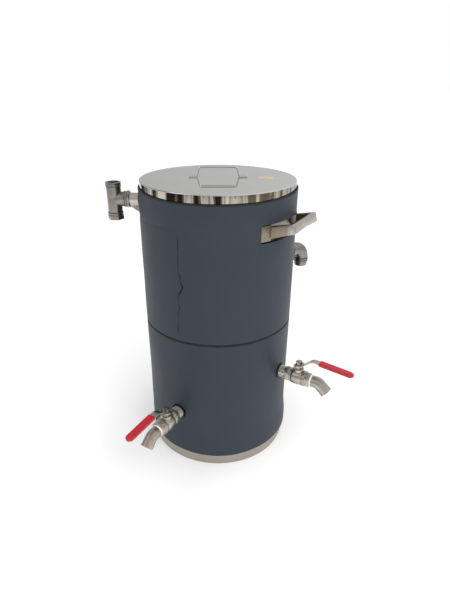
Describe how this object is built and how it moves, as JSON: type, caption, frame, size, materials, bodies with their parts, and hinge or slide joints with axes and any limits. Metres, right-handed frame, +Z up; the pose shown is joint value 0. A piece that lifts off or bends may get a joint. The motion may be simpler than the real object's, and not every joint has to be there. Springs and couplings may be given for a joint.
{
  "type": "insulated stainless pot with two drain valves",
  "caption": "Tall insulated stainless pot with a loose lid, side handles, two lever ball valves with bent spouts, a threaded tee and an elbow.",
  "frame": {"origin": "centre of the pot's flat underside, on the surface it stands on", "axes": "+Z up the pot's axis; +X through the right side handle and the upper valve; -Y through the lower valve"},
  "size_m": [0.5506, 0.5778, 0.665],
  "materials": {
    "pot_steel": "satin stainless",
    "band_steel": "satin stainless, warm grey",
    "foam_jacket": "slate film over black foam, satin",
    "handle_steel": "pressed stainless, satin",
    "lid_steel": "satin to mirror stainless",
    "sticker_yellow": "plain yellow paper",
    "nipple_steel": "polished stainless tube",
    "fitting_steel": "cast and machined stainless",
    "ptfe_white": "white sealing plastic",
    "ball_steel": "polished",
    "lever_steel": "bright stamped steel",
    "lever_red": "dipped red plastic"
  },
  "bodies": {
    "pot": {"pot_shell": "pot_steel", "floor_disc": "pot_steel", "base_plate": "pot_steel", "foot_band": "band_steel", "port_socket_valve_a": "pot_steel", "port_socket_valve_b": "pot_steel", "port_socket_tee": "pot_steel", "port_socket_elbow": "pot_steel", "insulation_lower": "foam_jacket", "insulation_upper": "foam_jacket", "side_handle_right": "handle_steel", "side_handle_left": "handle_steel", "port_nipple_a": "nipple_steel", "valve_body_a": "fitting_steel", "valve_end_cap_a": "fitting_steel", "seat_rings_a": "ptfe_white", "stem_packing_a": "ptfe_white", "packing_nut_a": "fitting_steel", "thread_tape_a": "ptfe_white", "spout_a": "nipple_steel", "port_nipple_b": "nipple_steel", "valve_body_b": "fitting_steel", "valve_end_cap_b": "fitting_steel", "seat_rings_b": "ptfe_white", "stem_packing_b": "ptfe_white", "packing_nut_b": "fitting_steel", "thread_tape_b": "ptfe_white", "spout_b": "nipple_steel", "tee": "fitting_steel", "tee_lock_nut": "fitting_steel", "tee_nipple": "nipple_steel", "tee_outlet_bush": "fitting_steel", "elbow": "fitting_steel", "elbow_nipple": "nipple_steel", "elbow_outlet_bush": "fitting_steel"},
    "lid": {"lid": "lid_steel", "lid_handle": "lid_steel", "lid_sticker": "sticker_yellow"},
    "valve_a_lever": {"ball_a": "ball_steel", "stem_a": "lever_steel", "lever_a": "lever_steel", "lever_sleeve_a": "lever_red", "lever_washer_a": "lever_steel", "lever_nut_a": "lever_steel"},
    "valve_b_lever": {"ball_b": "ball_steel", "stem_b": "lever_steel", "lever_b": "lever_steel", "lever_sleeve_b": "lever_red", "lever_washer_b": "lever_steel", "lever_nut_b": "lever_steel"}
  },
  "joints": [
    {"name": "lid_lift", "type": "slide", "parent": "pot", "child": "lid", "axis": [0, 0, 1], "range_m": [0, 0.2]},
    {"name": "valve_a_lever_turn", "type": "hinge", "parent": "pot", "child": "valve_a_lever", "pos_m": [0, -0.217, 0.1395], "axis": [0.0523, 0, 0.9986], "range_deg": [0, 90]},
    {"name": "valve_b_lever_turn", "type": "hinge", "parent": "pot", "child": "valve_b_lever", "pos_m": [0.217, 0, 0.2154], "axis": [0, 0, 1], "range_deg": [0, 90]}
  ]
}
